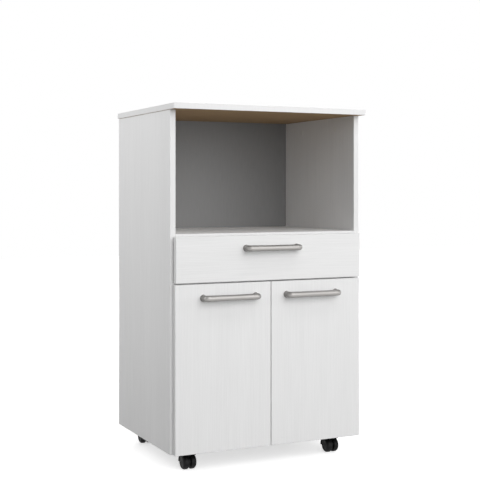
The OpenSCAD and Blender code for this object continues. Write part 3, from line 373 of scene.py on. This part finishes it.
# a wide softbox in front, a narrow strip overhead for the handles' upper edge, a low lamp far to
# the right that grazes the fronts, two that light the left side, one of them low and near so that
# the worktop stays below white, and one for the back and the right side
lamps = {
    "frontSoftbox": {"watts": 217, "size": (6.0, 4.2), "at": (0.6, -4.7, 2.3), "aim": (0.0, -0.2, 0.6)},
    "overheadStrip": {"watts": 12, "size": (2.4, 0.4), "at": (0.4, -1.5, 3.1), "aim": (0.0, -0.2, 0.6)},
    "grazingLamp": {"watts": 15, "size": (0.5, 0.5), "at": (3.3, -1.25, 1.3), "aim": (0.0, -0.2, 0.55)},
    "leftNearLamp": {"watts": 6.4, "size": (0.8, 0.8), "at": (-1.3, 0.15, 1.25), "aim": (-0.3, 0.0, 0.85)},
    "leftSoftbox": {"watts": 12, "size": (2.0, 2.0), "at": (-3.6, 0.2, 2.5), "aim": (0.0, 0.0, 0.7)},
    "rearSoftbox": {"watts": 120, "size": (3.0, 3.0), "at": (2.6, 3.9, 2.2), "aim": (0.0, 0.2, 0.6)},
}


def seenDirectly(tree):
    # 1 where the camera, a reflection or glass looks at the backdrop, 0 where it only lights
    path = addNode(tree, "ShaderNodeLightPath")
    eye = addNode(tree, "ShaderNodeMath", {"operation": "MAXIMUM"},
                  links={0: path.outputs["Is Camera Ray"], 1: path.outputs["Is Glossy Ray"]})
    seen = addNode(tree, "ShaderNodeMath", {"operation": "MAXIMUM"},
                   links={0: eye.outputs["Value"], 1: path.outputs["Is Transmission Ray"]})
    return seen.outputs["Value"]


def buildFloor():
    half = studio["floorHalfM"]
    mesh = bpy.data.meshes.new("studioFloor")
    corners = [(-half, -half), (half, -half), (half, half), (-half, half)]
    mesh.from_pydata([(x, y, 0) for x, y in corners], [], [(0, 1, 2, 3)])
    floor = bpy.data.objects.new("studioFloor", mesh)
    scene.collection.objects.link(floor)
    material = bpy.data.materials.new("seamlessPaper")  # matt background paper
    material.use_nodes = True
    tree = material.node_tree
    tree.nodes.clear()
    seen = seenDirectly(tree)
    colour = addNode(tree, "ShaderNodeMix", {"data_type": "RGBA"},
                     {6: linear(studio["floorBounce"]), 7: linear(studio["floorColour"])}, {0: seen})
    paper = addNode(tree, "ShaderNodeBsdfDiffuse", links={"Color": colour.outputs[2]})
    place = addNode(tree, "ShaderNodeTexCoord").outputs["Object"]
    away = addNode(tree, "ShaderNodeVectorMath", {"operation": "LENGTH"}, links={0: place})
    reach = addNode(tree, "ShaderNodeMapRange", links={"Value": away.outputs["Value"]},
                    values={"From Min": studio["nearM"], "From Max": studio["farM"],
                            "To Min": studio["glowNear"], "To Max": studio["glowFar"]})
    strength = addNode(tree, "ShaderNodeMath", {"operation": "MULTIPLY"},
                       links={0: reach.outputs["Result"], 1: seen})
    glow = addNode(tree, "ShaderNodeEmission", links={"Strength": strength.outputs["Value"]})
    both = addNode(tree, "ShaderNodeAddShader", links={0: paper.outputs[0], 1: glow.outputs[0]})
    addNode(tree, "ShaderNodeOutputMaterial", links={"Surface": both.outputs[0]})
    mesh.materials.append(material)


def buildWorld():
    world = bpy.data.worlds.new("studioWorld")
    scene.world = world
    world.use_nodes = True
    tree = world.node_tree
    tree.nodes.clear()
    strength = addNode(tree, "ShaderNodeMapRange", links={"Value": seenDirectly(tree)},
                       values={"To Min": studio["worldStrength"], "To Max": 1.0})
    sky = addNode(tree, "ShaderNodeBackground", values={"Color": (1, 1, 1, 1)},
                  links={"Strength": strength.outputs["Result"]})
    addNode(tree, "ShaderNodeOutputWorld", links={"Surface": sky.outputs[0]})


def buildLamps():
    for name, lamp in lamps.items():
        data = bpy.data.lights.new(name, "AREA")
        data.shape = "RECTANGLE"
        data.size, data.size_y = lamp["size"]
        data.energy = lamp["watts"]
        light = bpy.data.objects.new(name, data)
        light.location = lamp["at"]
        towards = Vector(lamp["aim"]) - light.location
        light.rotation_euler = towards.to_track_quat("-Z", "Y").to_euler()
        scene.collection.objects.link(light)


# The lens, the height and the turn come from the picture's vanishing points, at 480 x 480 pixels.
camera = {
    "lensMm": 78.9, "sensorMm": 36, "shiftY": -0.1025, "clipEndM": 60,
    "at": (-1.3573, -2.86155, 0.7764), "turnDegrees": -25.39,
}


def buildCamera():
    data = bpy.data.cameras.new("photoCamera")
    data.sensor_width = camera["sensorMm"]
    data.lens = camera["lensMm"]
    data.shift_y = camera["shiftY"]
    data.clip_end = camera["clipEndM"]
    eye = bpy.data.objects.new("photoCamera", data)
    eye.location = camera["at"]
    eye.rotation_euler = (pi / 2, 0, radians(camera["turnDegrees"]))  # level, so uprights stay upright
    scene.collection.objects.link(eye)
    scene.camera = eye


buildFloor()
buildWorld()
buildLamps()
buildCamera()
scene.view_settings.view_transform = "Standard"
print("studio ready")
